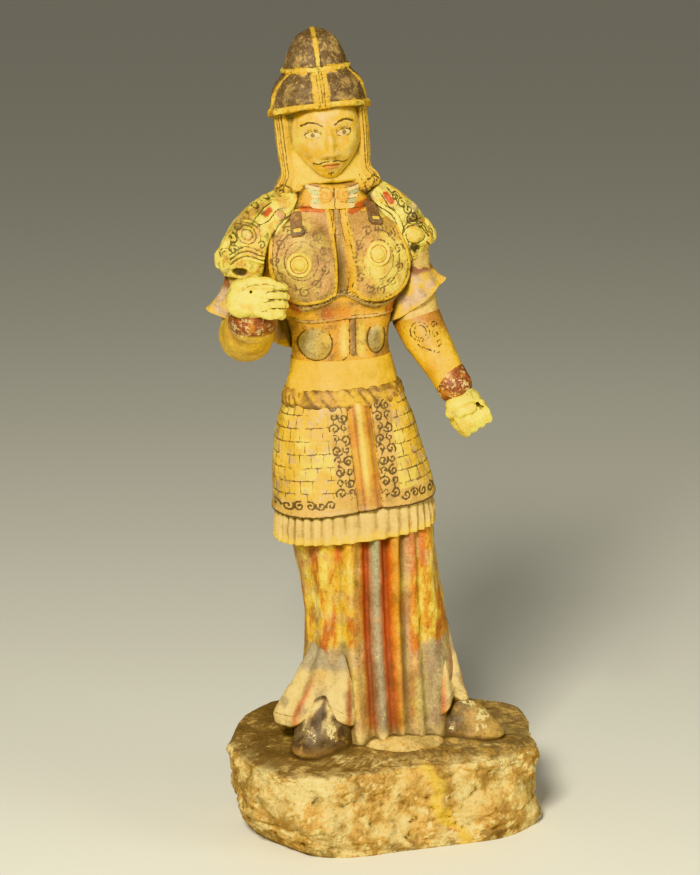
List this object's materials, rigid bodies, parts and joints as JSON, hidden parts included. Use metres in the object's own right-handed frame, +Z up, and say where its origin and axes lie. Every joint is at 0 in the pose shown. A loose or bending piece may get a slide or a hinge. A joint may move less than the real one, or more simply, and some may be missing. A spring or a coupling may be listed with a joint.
{
  "type": "terracotta tomb guard statue",
  "caption": "Standing armoured tomb guard of painted, partly glazed terracotta in helmet, beast-head shoulder guards and pleated armour skirt, on a rough rock slab.",
  "frame": {"origin": "centre of the underside of the rock slab", "axes": "+Z up, -Y the way the figure faces, +X toward the figure's left hand"},
  "size_m": [0.3026, 0.2106, 0.7195],
  "materials": {
    "terracotta": "fired clay with worn yellow, orange, grey and red paint over white slip"
  },
  "bodies": {
    "root": {"warrior_statue": "terracotta"}
  },
  "joints": []
}
